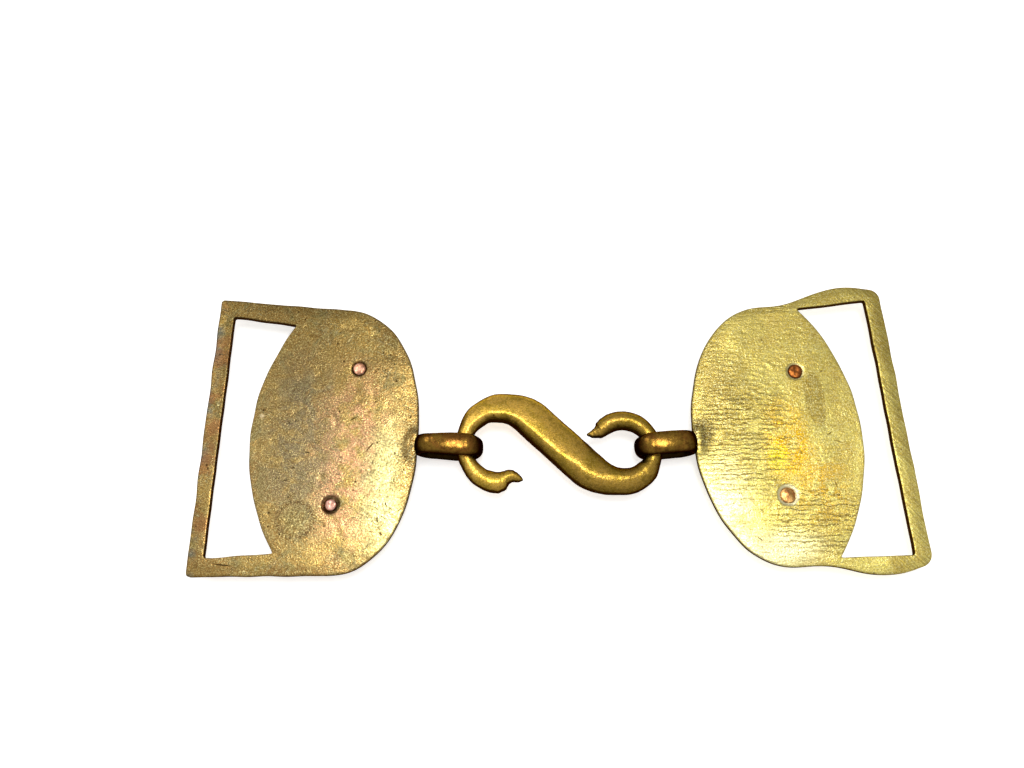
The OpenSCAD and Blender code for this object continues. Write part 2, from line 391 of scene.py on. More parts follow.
def edge_profile(radius):
    """(inset, height) pairs up a wall with eased edges, from the bottom face to the top face."""
    turns = np.linspace(0, math.pi / 2, 5)
    top = PLATE_THICK / 2
    low = [(radius * (1 - math.sin(t)), -top + radius * (1 - math.cos(t))) for t in turns]
    high = [(radius * (1 - math.cos(t)), top - radius * (1 - math.sin(t))) for t in turns]
    return low + high


def sink_profile(hole_r, sink_r, depth):
    """(inset, height) pairs up a rivet hole with a sunk, slightly dished mouth."""
    top, wide = PLATE_THICK / 2, sink_r - hole_r
    return [(0, -top), (0, top - depth), (0.5 * wide, top - 0.85 * depth), (0.86 * wide, top - 0.35 * depth),
            (wide, top - 0.08), (wide + 0.1, top)]


def plate_mesh(outlines, profiles, grid_top, grid_bottom, top_of, bottom_of):
    """Points and faces of a plate: a wall round each outline, and two faces with heights of their own."""
    verts, faces, rims = [], [], {"low": [], "high": []}
    total = 0
    for points, profile in zip(outlines, profiles):
        push = inward(points)
        levels = [np.column_stack([points + push * inset, np.full(len(points), height)])
                  for inset, height in profile]
        count = len(points)
        verts.append(np.vstack(levels))
        for j in range(len(levels) - 1):
            a, b = total + j * count, total + (j + 1) * count
            faces += [(a + k, a + (k + 1) % count, b + (k + 1) % count, b + k) for k in range(count)]
        rims["low"].append((levels[0], total))
        rims["high"].append((levels[-1], total + (len(levels) - 1) * count))
        total += count * len(levels)
    for key, grid in (("low", grid_bottom), ("high", grid_top)):
        rings = [ring[:, :2] for ring, _ in rims[key]]
        index = np.concatenate([start + np.arange(len(ring)) for ring, start in rims[key]]
                               + [total + np.arange(len(grid))])
        height = PLATE_THICK / 2 * (1 if key == "high" else -1)
        verts.append(np.column_stack([grid, np.full(len(grid), height)]))
        faces += index[filled(rings, grid)].tolist()
        total += len(grid)
    verts = np.vstack(verts)
    share = (verts[:, 2] / PLATE_THICK + 0.5).clip(0, 1)
    verts[:, 2] += top_of(verts[:, :2]) * share + bottom_of(verts[:, :2]) * (1 - share)
    return verts, faces


def dents(points, count, seed, low, high, size, depth):
    """Small round and long dings scattered over a face."""
    rng = random.Random(seed)
    total = np.zeros(len(points))
    for _ in range(count):
        at = (rng.uniform(low[0], high[0]), rng.uniform(low[1], high[1]))
        turn, long = rng.uniform(0, math.pi), rng.uniform(1, 3.2)
        radius, deep = size * rng.uniform(0.6, 1.5), depth * rng.uniform(0.4, 1)
        along = (points[:, 0] - at[0]) * math.cos(turn) + (points[:, 1] - at[1]) * math.sin(turn)
        across = -(points[:, 0] - at[0]) * math.sin(turn) + (points[:, 1] - at[1]) * math.cos(turn)
        total -= deep * np.exp(-((along / (radius * long)) ** 2 + (across / radius) ** 2))
    return total


def left_top(points, outer):
    """Height of the left plate's back above flat: eased to the nose, dinged, with a braze lip at the loop."""
    x, y = points.T
    edge = near(points, [outer], 9)
    height = -0.16 * (1 - smooth(edge / 2.4)) - 0.12 * (1 - smooth(edge / 8.5)) * smooth((17 - x) / 8)
    height += 0.04 * waves(x, y, 9, 11) + 0.008 * waves(x, y, 3.2, 12)
    height += dents(points, 90, 5, (2, -27), (34, 27), 0.45, 0.06)
    height += collar(points, HALVES["left"]["lift"], 0.32, 1.0)
    lip = np.hypot(x + 1.2, (y + 0.8) * 0.8)
    height += 0.1 * bell(lip - 3.5, 0.6) * smooth((2.4 - y) / 3) * smooth((x + 0.3) / 0.6)
    height -= 0.03 * bell(lip - 2.1, 0.8) * smooth((1.8 - y) / 3)
    return height


def right_top(points, outer):
    """Height of the right plate's back above flat: filed in wavy rows, with a smear of solder at the loop."""
    x, y = points.T
    edge = near(points, [outer], 9)
    height = -0.14 * (1 - smooth(edge / 2.0)) - 0.1 * (1 - smooth(edge / 8)) * smooth((17 - x) / 8)
    height += 0.04 * waves(x, y, 10, 21) + 0.01 * waves(x, y, 3.5, 22)
    body = smooth((31 - x) / 4) * smooth((x - 2) / 4)
    pitch = 1.05 + 0.16 * waves(x, y, 16, 25, 5)
    rows = np.sin(math.tau * (y + 0.45 * waves(x, y * 2, 5, 23) + 0.13 * x) / pitch.mean())
    strength = 0.45 + 0.55 * smooth(0.5 + waves(x, y, 7, 24))
    height += 0.026 * rows * body * strength * (0.4 + 0.6 * bell(y - 5, 11) + 0.4 * bell(y + 17, 6))
    height += dents(points, 40, 6, (2, -26), (34, 26), 0.4, 0.05)
    height += collar(points, HALVES["right"]["lift"], 0.32, 1.0)
    smear = np.hypot((x - 1.6) / 1.9, (y - 1.2) / 2.6)
    height += (0.13 + 0.03 * waves(x, y, 1.2, 27)) * smooth((1.7 - smear) / 1.3)
    return height


def collar(points, lift, height, spread):
    """Braze heaped round the root of the loop, which stands astride the plate's nose."""
    x, y = points.T
    beyond = np.hypot((x - ROOT_DEPTH).clip(0), (np.abs(y + lift) - BAND_W / 2 + 0.2).clip(0))
    return height * bell(beyond, spread)


def front_face(points, outlines, seed):
    """Height of a plate's front above flat: eased at its edges and a little wavy."""
    x, y = points.T
    edge = near(points, outlines, 5)
    return 0.12 * (1 - smooth(edge / 2)) + 0.03 * waves(x, y, 8, seed) + 0.012 * waves(x, y, 2.5, seed + 1)


def make_plate(side, material):
    """A slotted plate with eased edges, a worn back and two sunk rivet holes."""
    half = HALVES[side]
    seeds = half["seeds"]
    outline, top_of = (left_outline, left_top) if side == "left" else (right_outline, right_top)
    outer = resampled(arc_corners(outline(), half["corner_r"]), OUTLINE_STEP)
    slot = resampled(arc_corners(slot_outline(side), SLOT_CORNER_R), OUTLINE_STEP)
    outer = hand_cut(metal_on_left(outer, False), 5, 0.07, seeds["edge"])
    slot = hand_cut(metal_on_left(slot, True), 5, 0.06, seeds["slot"])
    outlines = [outer, slot]
    profiles = [edge_profile(PLATE_EDGE_R), edge_profile(SLOT_EDGE_R)]
    for level, at in half["rivets"].items():
        r = RIVETS[side, level]
        outlines.append(metal_on_left(circle(at, r["hole"]), True))
        profiles.append(sink_profile(r["hole"], r["mouth"], r["depth"]))
    tops = [points + inward(points) * profile[-1][0] for points, profile in zip(outlines, profiles)]
    lows = [points + inward(points) * profile[0][0] for points, profile in zip(outlines, profiles)]
    grid_top = grid_inside(tops, *half["grid"], 0.22, 51)
    grid_bottom = grid_inside(lows, 0.7, 0.6, 0.4, 52)
    verts, faces = plate_mesh(outlines, profiles, grid_top, grid_bottom, lambda p: top_of(p, outer),
                              lambda p: front_face(p, outlines[:2], seeds["front"]))
    finish_mesh(side + "_plate_back", to_row(side, on_plate(side, verts)), faces, material,
                side + "_half", side + "_plate")


# ------------------------ loops


def loop_path(back, step):
    """(centre x, centre z, outward x, outward z) round the stadium, starting at its free end."""
    mid_r = EYE_R + BAND_THICK / 2
    turn = math.pi * mid_r
    length = 2 * turn + 2 * back
    spots = np.linspace(0, length, int(length / step), endpoint=False)
    rows = []
    for s in spots:
        if s < turn / 2 or s >= length - turn / 2:
            a = (s if s < turn / 2 else s - length) / mid_r
            rows.append((-mid_r * math.cos(a), mid_r * math.sin(a), -math.cos(a), math.sin(a)))
        elif s < turn / 2 + back:
            rows.append((s - turn / 2, mid_r, 0, 1))
        elif s < turn * 1.5 + back:
            a = (s - turn / 2 - back) / mid_r
            rows.append((back + mid_r * math.sin(a), mid_r * math.cos(a), math.sin(a), math.cos(a)))
        else:
            rows.append((back - (s - turn * 1.5 - back), -mid_r, 0, -1))
    return rows


def make_loop(side, material):
    """A crowned band bent into a closed stadium, which stands across the plate's nose."""
    half = HALVES[side]
    back = half["reach"] + ROOT_DEPTH - EYE_R - BAND_THICK
    turn = around(36)
    # The band's outer face is crowned and its inner face nearly flat
    outer = powered(np.cos(turn), np.where(np.cos(turn) > 0, 1.15, 0.6))
    across = powered(np.sin(turn), 0.8)
    rings = []
    for x, z, out_x, out_z in loop_path(back, 0.2):
        width = BAND_W / 2 * (1 - (1 - half["root_width"]) * float(smooth(x / (half["reach"] - 1))))
        width *= 1 - 0.34 * min(0, x / (EYE_R + BAND_THICK)) ** 2
        thick = BAND_THICK / 2
        # The back run bows a little over the eye
        z += 0.28 * math.cos(math.pi * (x / back - 0.5) * 0.9) if 0 < x < back and z > 0 else 0
        rings.append(np.column_stack([x + outer * thick * out_x, across * width, z + outer * thick * out_z]))
    verts = np.vstack(rings)
    push = np.column_stack([verts[:, 0] - verts[:, 0].clip(0, back), verts[:, 1] * 0.6, verts[:, 2]])
    push /= np.linalg.norm(push, axis=1)[:, None]
    seed = half["seeds"]["loop"]
    worn = 0.035 * rough(verts, 1.3, seed) + 0.05 * rough(verts, 3.5, seed + 1)
    verts = verts + push * worn[:, None]
    finish_mesh(side + "_loop_ring", to_row(side, verts), stitched(rings, True), material,
                side + "_half", side + "_loop")


# ------------------------ hook

# The hook's centreline: arcs as (radius, turn in degrees) and straights as (length, 0), as in the CAD model
HOOK_CHAIN = [
    (1.8, 0), (8, 14), (7.7, -98), (0.8, 0), (7.4, -90), (10, -44), (14.5, 0),
    (11.3, 44), (6.4, 90), (6.3, 112), (14, 10), (5, -14), (1.9, 0),
]
HOOK_START_HEADING = 174
# The left hinge is where this piece of the chain starts
LEFT_HINGE_ARC = 3
# Stations: arc, share of it, half width to the left and to the right of the way that the centreline runs,
# height above and below the middle, shift of the crown, and how sharp the crown is (2 is a plain ellipse)
HOOK_STATIONS = [
    (0, 0.33, -0.27, 0.84, 0.35, 0.35, 0, 2),
    (0, 0.55, -0.25, 1.26, 0.72, 0.62, 0, 2),
    (0, 0.85, -0.03, 1.7, 1.1, 0.95, 0, 1.9),
    (1, 0.1, -0.01, 2.1, 1.32, 1.15, 0, 1.8),
    (1, 0.5, -0.05, 2.58, 1.55, 1.35, 0, 1.8),
    (1, 0.8, 0.25, 2.66, 1.65, 1.5, 0, 1.8),
    (1, 1, 0.65, 2.62, 1.75, 1.65, 0, 1.9),
    (2, 0.035, 1.4, 2.56, 1.85, 1.85, 0, 2),
    (2, 0.07, 1.73, 2.48, 1.95, 1.95, 0, 2),
    (2, 0.14, 2.17, 2.3, 2.05, 2, 0, 2),
    (2, 0.27, 2.24, 2.2, 2.05, 2, 0.1, 1.9),
    (2, 0.45, 2.1, 1.95, 1.95, 1.95, 0, 2),
    (2, 0.75, 1.7, 1.72, 1.8, 1.8, 0, 2),
    (4, 0.2, 1.8, 1.8, 1.8, 1.8, -0.1, 1.8),
    (4, 0.6, 2.45, 2.45, 2.2, 2.1, -0.35, 1.6),
    (4, 1, 3.1, 3.1, 2.5, 2.4, -0.5, 1.45),
    (5, 1, 4, 4, 2.76, 2.8, -0.52, 1.36),
    (6, 0.55, 4, 4, 2.76, 2.8, -0.46, 1.36),
    (7, 0, 3.95, 4, 2.76, 2.8, -0.24, 1.5),
    (7, 1, 2.8, 2.8, 2.45, 2.4, 0.15, 1.75),
    (8, 0.5, 2.4, 2.4, 2.15, 2.15, 0.15, 1.9),
    (8, 0.8, 1.8, 1.8, 1.8, 1.8, 0, 2),
    (9, 0.25, 1.75, 1.8, 1.8, 1.8, 0, 2),
    (9, 0.7, 1.85, 2.16, 1.95, 1.9, 0, 1.8),
    (9, 1, 1.82, 2.12, 1.95, 1.85, 0, 1.8),
    (10, 0.5, 1.85, 1.92, 1.85, 1.75, 0, 1.8),
    (11, 0, 1.86, 1.58, 1.65, 1.55, 0, 1.8),
    (11, 0.5, 1.82, 1.08, 1.4, 1.3, 0, 1.9),
    (12, 0, 1.47, 0.74, 1.12, 1.05, 0, 2),
    (12, 0.45, 1.17, 0.42, 0.82, 0.72, 0, 2),
    (12, 0.85, 0.56, 0.22, 0.52, 0.46, 0, 2),
    (12, 1, 0.34, 0.12, 0.34, 0.32, 0, 2),
]


def arc_length(arc):
    return arc[0] if arc[1] == 0 else arc[0] * abs(math.radians(arc[1]))


def arc_end(start, arc, share):
    """(x, y, heading in degrees) a share of the way along an arc from its start."""
    x, y, heading = start
    radius, turn = arc
    h = math.radians(heading)
    if turn == 0:
        return x + radius * share * math.cos(h), y + radius * share * math.sin(h), heading
    side = math.copysign(1, turn)
    h2 = math.radians(heading + turn * share)
    return (x + side * radius * (math.sin(h2) - math.sin(h)),
            y - side * radius * (math.cos(h2) - math.cos(h)),
            heading + turn * share)


def hook_centreline(step):
    """(x, y, heading, distance) along the hook in row millimetres."""
    starts = [(0.0, 0.0, HOOK_START_HEADING)]
    for arc in HOOK_CHAIN:
        starts.append(arc_end(starts[-1], arc, 1))
    hinge = HALVES["left"]["hinge"]
    dx, dy = hinge.x - starts[LEFT_HINGE_ARC][0], hinge.y - starts[LEFT_HINGE_ARC][1]
    rows, travelled = [], 0.0
    for start, arc in zip(starts, HOOK_CHAIN):
        length = arc_length(arc)
        count = max(2, round(length / step))
        for k in range(count):
            x, y, heading = arc_end(start, arc, k / count)
            rows.append((x + dx, y + dy, heading, travelled + length * k / count))
        travelled += length
    x, y, heading = starts[-1]
    rows.append((x + dx, y + dy, heading, travelled))
    return np.array(rows)


def eased(at, spots, values):
    """Values between stations, with a smooth start and end to each stretch."""
    i = np.clip(np.searchsorted(spots, at, "right") - 1, 0, len(spots) - 2)
    t = smooth((at - spots[i]) / (spots[i + 1] - spots[i]))
    return values[i] + (values[i + 1] - values[i]) * t


def make_hook(material):
    """A cast bar of changing section swept along the centreline, rough all over."""
    lengths = [arc_length(arc) for arc in HOOK_CHAIN]
    starts = np.concatenate([[0], np.cumsum(lengths)])
    spots = np.array([starts[s[0]] + s[1] * lengths[s[0]] for s in HOOK_STATIONS])
    table = np.array([s[2:] for s in HOOK_STATIONS], float)
    line = hook_centreline(0.2)
    line = line[line[:, 3] > spots[0]]
    at = line[:, 3]
    left, right, above, below, crown, crest = (eased(at, spots, table[:, k]) for k in range(6))
    # Both tips close in a small round cap
    cap = 0.4
    to_end = np.minimum(at - at[0], at[-1] - at)
    close = np.sqrt(1 - (1 - np.clip(to_end / cap, 0, 1)) ** 2).clip(0.04, 1)
    sides = 60
    turn = around(sides)
    share, top_half = np.cos(turn), np.sin(turn) >= 0
    rings = []
    for i, (x, y, heading, _) in enumerate(line):
        h = math.radians(heading)
        middle, half = (left[i] - right[i]) / 2, (left[i] + right[i]) / 2
        ridge = np.where(top_half, crown[i], 0)
        spread = ridge + share * np.where(share > 0, 1 - ridge, 1 + ridge)
        across = middle + half * spread * close[i]
        arch = np.sqrt(1 - np.abs(share) ** crest[i])
        height = np.where(top_half, above[i] * arch, below[i] * np.sin(turn)) * close[i]
        rings.append(np.column_stack([x - across * math.sin(h), y + across * math.cos(h), MID_Z + height]))
    verts = np.vstack(rings)
    spine = np.array([ring.mean(0) for ring in rings])
    centre = np.repeat(spine, sides, 0)
    push = verts - centre
    push /= np.linalg.norm(push, axis=1)[:, None].clip(1e-6)
    cast = 0.035 * rough(verts, 0.9, 2) + 0.06 * rough(verts, 2.6, 4)
    verts = verts + push * (cast * np.repeat(close, sides))[:, None]
    faces = stitched(rings, False)
    last = len(verts)
    verts = np.vstack([verts, centre[0], centre[-1]])
    faces += [(last, k, (k + 1) % sides) for k in range(sides)]
    end = last - sides
    faces += [(last + 1, end + (k + 1) % sides, end + k) for k in range(sides)]
    finish_mesh("snake_hook_cast", verts, faces, material, "hook", "snake_hook")


# ------------------------ rivets


def make_rivet(side, level, material):
    """A copper pin, hammered over at the back and set in the badge at the front."""
    spec = RIVETS[side, level]
    at = HALVES[side]["rivets"][level]
    r, hole = spec["head"], spec["hole"] - 0.02
    top = PLATE_THICK / 2
    seat = top - spec["depth"] * 0.75
    foot = -top - RIVET_BURY
    profile = [(hole * 0.5, foot), (hole * 0.96, foot + 0.05), (hole, foot + 0.2), (hole, seat - 0.2),
               (hole, seat), (r * 0.98, seat + 0.04), (r, seat + 0.14), (r, top - 0.2),
               (r * 0.985, top - 0.1), (r * 0.93, top - 0.02), (r * 0.82, top + 0.03),
               (r * 0.6, top + 0.06), (r * 0.35, top + 0.075), (r * 0.12, top + 0.08)]
    sides = 44
    turn = around(sides)
    seed = 81 + 7 * (side == "right") + 3 * (level == "lower")
    lumpy = 1 + 0.035 * waves(np.cos(turn) * 2, np.sin(turn) * 2, 1.6, seed)
    rings = []
    for radius, z in profile:
        show = smooth((z - seat) / 0.3)
        spread = radius * (1 + (lumpy - 1) * show)
        rings.append(np.column_stack([at[0] + spread * np.cos(turn), at[1] + spread * np.sin(turn),
                                      np.full(sides, z)]))
    verts, faces = capped(rings)
    head = smooth((verts[:, 2] - top + 0.25) / 0.25)
    verts[:, 2] += head * (0.05 * waves(verts[:, 0], verts[:, 1], 0.9, seed + 1) - 0.05)
    if (side, level) == ("right", "lower"):
        # One side of this head was struck flat at a slant
        slant = (verts[:, 0] - at[0]) * 0.75 + (verts[:, 1] - at[1]) * 0.35
        verts[:, 2] -= head * 0.32 * smooth((slant - 0.1) / 0.9)
    finish_mesh(f"{side}_rivet_{level}_head", to_row(side, on_plate(side, verts)), faces, material,
                side + "_half", f"{side}_rivet_{level}")


# ------------------------ badges


def badge_relief(share, turn):
    """Depth of the badge's front below its rim, for a share of the way out and an angle."""
    deep = 1.25
    rim = 0.88
    depth = deep * (1 - smooth((share - rim) / 0.03))
    beads = 58
    bead = np.abs(np.sin(turn * beads / 2)) ** 1.2
    depth -= 0.62 * bead * bell(share - 0.835, 0.03)
    rays = 32
    fan = 0.5 + 0.5 * np.cos(turn * rays)
    field = smooth((0.79 - share) / 0.03) * smooth((share - 0.44) / 0.05)
    depth -= field * (0.16 + 0.42 * fan * smooth((share - 0.4) / 0.3))
    depth -= 0.55 * bell(share - 0.415, 0.022)
    boss = smooth((0.37 - share) / 0.05)
    depth -= boss * (0.4 + 0.5 * (1 - (share / 0.37).clip(0, 1) ** 2))
    petals = 8
    petal = np.abs(np.cos(turn * petals / 2)) ** 0.7
    depth -= boss * 0.16 * petal * smooth((share - 0.06) / 0.05) * smooth((0.3 - share) / 0.06)
    return depth.clip(0.02, deep)


def make_badge(side, material):
    """An oval medallion: relief out to the rim, a rounded rim, a step in the wall and a flat back."""
    turn = around(464)
    back = -PLATE_THICK / 2
    front = back - (PLATE_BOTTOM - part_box(side + "_badge")[0].z / MM)

    def ring(share, z):
        return np.column_stack([BADGE_AT + BADGE_W / 2 * share * np.cos(turn),
                                BADGE_H / 2 * share * np.sin(turn), np.broadcast_to(z, turn.shape)])

    rings = [ring(share, front + badge_relief(np.full(turn.shape, share), turn))
             for share in np.linspace(0.03, 0.985, 74)]
    rings += [ring(share, front + rise) for share, rise in (
        (0.993, 0.05), (0.998, 0.14), (1.0, 0.3), (1.0, 0.95), (0.995, 1.1), (0.984, 1.22), (0.98, 1.4))]
    rings += [ring(share, back - drop) for share, drop in (
        (0.98, 0.75), (0.984, 0.6), (0.992, 0.5), (0.995, 0.38), (0.995, 0.12),
        (0.99, 0), (0.5, 0), (0.03, 0))]
    verts, faces = capped(rings)
    worn = 0.03 * waves(verts[:, 0], verts[:, 1], 6, HALVES[side]["seeds"]["badge"])
    verts[:, 2] += np.abs(worn) * (verts[:, 2] < back - 1)
    finish_mesh(side + "_badge_front", to_row(side, on_plate(side, verts)), faces, material,
                side + "_half", side + "_badge")


# ------------------------ materials


EDGE_TINT = (0.5, 0.34, 0.16)


class Metal:
    """A metal material, the colour made so far, and short calls for the nodes that the metals share.

    Positions are in millimetres: in a half's own frame measured from its plate's nose, or in the row frame.
    """

    def __init__(self, name, side=None):
        self.material = bpy.data.materials.new(name)
        self.material.use_nodes = True
        self.tree = self.material.node_tree
        self.shader = self.tree.nodes["Principled BSDF"]
        self.shader.inputs["Metallic"].default_value = 1.0
        self.shader.inputs["Specular Tint"].default_value = (*EDGE_TINT, 1)
        self.side = side
        self.at = self.position()
        self.colour = None

    def put(self, socket, value):
        if isinstance(value, bpy.types.NodeSocket):
            self.tree.links.new(value, socket)
        elif value is not None:
            if socket.type == "RGBA" and len(value) == 3:
                value = (*value, 1)
            socket.default_value = value

    def add(self, kind, inputs, **settings):
        node = self.tree.nodes.new(kind)
        for key, value in settings.items():
            setattr(node, key, value)
        for key, value in inputs.items():
            self.put(node.inputs[key], value)
        return node

    def mapped(self, where, **changes):
        """A vector after the changes of one Mapping node: Location, Rotation and Scale."""
        return self.add("ShaderNodeMapping", {"Vector": where, **changes}).outputs[0]

    def position(self):
        where = self.add("ShaderNodeTexCoord", {}).outputs["Object"]
        if self.side is None:
            return self.mapped(where, Scale=(1 / MM, 1 / MM, 1 / MM))
        half = HALVES[self.side]
        flip, out, up, hinge = half["outward"], half["out"], half["up"], half["hinge"]
        shift = (-(out @ hinge) - half["reach"], -(up @ hinge) - half["lift"], -MID_Z)
        return self.mapped(where, Scale=(flip / MM, 1 / MM, 1 / MM), Location=shift,
                           Rotation=(0, 0, -flip * half["yaw"]))

    def turned(self, turn, stretch):
        """The position turned by some degrees and then stretched along each axis."""
        return self.mapped(self.mapped(self.at, Rotation=(0, 0, math.radians(turn))), Scale=stretch)

    def axis(self, vector, index):
        return self.add("ShaderNodeSeparateXYZ", {0: vector}).outputs[index]

    def math(self, operation, a, b=None, clamp=False):
        return self.add("ShaderNodeMath", {0: a, 1: b}, operation=operation, use_clamp=clamp).outputs[0]

    def times(self, a, b):
        return self.math("MULTIPLY", a, b)

    def most(self, a, b):
        return self.math("MAXIMUM", a, b)

    def less(self, a, b):
        return self.math("SUBTRACT", a, b)

    def spread(self, value, low, high, to_low=0.0, to_high=1.0):
        """A smooth ramp from to_low to to_high as the value runs from low to high."""
        return self.add("ShaderNodeMapRange", {0: value, 1: low, 2: high, 3: to_low, 4: to_high},
                        interpolation_type="SMOOTHSTEP").outputs[0]

    def mix(self, factor, a, b, blend="MIX"):
        node = self.add("ShaderNodeMix", {0: factor, 6: a, 7: b}, data_type="RGBA", blend_type=blend)
        return node.outputs[2]

    def noise(self, size, detail=3, roughness=0.55, distortion=0.0, where=None):
        """Noise of 0 to 1 with spots about size millimetres across."""
        where = self.at if where is None else where
        return self.add("ShaderNodeTexNoise", {"Vector": where, "Scale": 1 / size, "Detail": detail,
                                               "Roughness": roughness, "Distortion": distortion}).outputs[0]

    def pits(self, gap, core, rim, low, high):
        """Small round pits about gap apart, in patches: 1 inside core and 0 beyond rim, in shares of gap."""
        apart = self.add("ShaderNodeTexVoronoi", {"Vector": self.at, "Scale": 1 / gap}).outputs["Distance"]
        return self.times(self.spread(apart, core, rim, 1.0, 0.0), self.spread(self.noise(5.0, 2), low, high))

    def distance(self, centre, stretch=(1, 1)):
        """Distance in millimetres from a place on a plate, with each axis stretched."""
        moved = self.mapped(self.at, Location=(-centre[0], -centre[1], 0))
        return self.length(self.mapped(moved, Scale=(*stretch, 0)))

    def length(self, vector):
        return self.add("ShaderNodeVectorMath", {0: vector}, operation="LENGTH").outputs["Value"]

    def spot(self, centre, stretch, near, far, strength=1.0):
        """A soft spot: strength up to near from its centre and 0 beyond far, in stretched millimetres."""
        return self.spread(self.distance(centre, stretch), near, far, strength, 0.0)

    def ragged(self, centre, stretch, near, far, cloud, low, high, least=0.0):
        """A soft spot that noise of (size, detail, roughness) breaks up, down to least of its strength."""
        whole = self.spot(centre, stretch, near, far)
        return self.times(whole, self.spread(self.noise(*cloud), low, high, least))

    def stroke(self, centre, turn, length, width):
        """A single straight mark of given length and width, 1 in its middle."""
        where = self.mapped(self.at, Location=(-centre[0], -centre[1], 0))
        where = self.mapped(where, Rotation=(0, 0, -math.radians(turn)))
        where = self.mapped(where, Scale=(2 / length, 2 / width, 0))
        return self.spread(self.length(where), 0.5, 1.0, 1.0, 0.0)

    def strokes(self, marks):
        """Every mark of a list of (centre, turn, length, width)."""
        total = self.stroke(*marks[0])
        for mark in marks[1:]:
            total = self.most(total, self.stroke(*mark))
        return total

    def scratches(self, turn, length, gap, amount, seed):
        """Thin straight marks, 1 on a mark: stretched noise that is cut near its middle value."""
        where = self.turned(turn, (1 / length, 1 / gap, 1 / gap))
        where = self.mapped(where, Location=(seed, seed * 1.7, seed * 2.3))
        middle = self.math("ABSOLUTE", self.less(self.noise(1.0, 2.0, 0.5, where=where), 0.5))
        patch = self.spread(self.noise(4.0 + seed % 3, 1), 0.5, 0.62)
        return self.times(self.spread(middle, 0.0, amount, 1.0, 0.0), patch)

    def rows(self, where, pitch, wander, width):
        """Crisp wavy lines across the plate, pitch apart, 1 on a line."""
        sockets = {"Vector": where, "Scale": math.tau / 20 / pitch, "Distortion": wander,
                   "Detail": 2.0, "Detail Scale": 1.2, "Detail Roughness": 0.55}
        node = self.add("ShaderNodeTexWave", sockets, wave_type="BANDS", bands_direction="Y")
        return self.spread(node.outputs["Fac"], 0.0, width, 1.0, 0.0)

    def backness(self):
        """The normal's height: 1 straight out of the back, -1 out of the front."""
        return self.axis(self.add("ShaderNodeTexCoord", {}).outputs["Normal"], 2)

    def flatness(self, low, high):
        """1 on faces that point out of the back or the front, and 0 on the walls."""
        return self.spread(self.math("ABSOLUTE", self.backness()), low, high)

    def base(self, cloud, low, high, one, other):
        """Starts the colour with two shades in screen values, parted by a cloud of noise."""
        self.colour = self.mix(self.spread(cloud, low, high), srgb(*one), srgb(*other))

    def tint(self, share, shade):
        """Covers a share of the colour so far with a shade in screen values."""
        self.colour = self.mix(share, self.colour, srgb(*shade))

    def dim(self, along, start, end, low, high):
        """Dims the colour by a share that runs from low to high as a position runs from start to end."""
        self.colour = self.mix(1.0, self.colour, self.spread(along, start, end, low, high), "MULTIPLY")

    def shade_walls(self, shade, low=0.25, high=0.8):
        """Darkens the walls with painted shade, which stands in for the dark surroundings that the metal's
        sides reflect.
        """
        self.colour = self.mix(self.flatness(low, high), srgb(*shade), self.colour)

    def dull_walls(self, roughness, low=0.25, high=0.8, dull=0.85):
        """Roughens the walls, which were never polished."""
        clean = self.flatness(low, high)
        return self.math("ADD", self.times(roughness, clean), self.times(self.less(1.0, clean), dull))

    def finish(self, roughness, bumps):
        """Joins colour, roughness and bumps, as (height, depth in millimetres), to the shader."""
        normal = None
        for height, depth in bumps:
            normal = self.add("ShaderNodeBump", {"Height": height, "Distance": depth * MM, "Strength": 1.0,
                                                 "Normal": normal}).outputs[0]
        for name, value in (("Base Color", self.colour), ("Roughness", roughness), ("Normal", normal)):
            self.put(self.shader.inputs[name], value)
        return self.material


def srgb(r, g, b):
    """A linear colour from 0 to 255 screen values."""
    return tuple((c / 255 / 12.92) if c <= 10 else ((c / 255 + 0.055) / 1.055) ** 2.4 for c in (r, g, b))


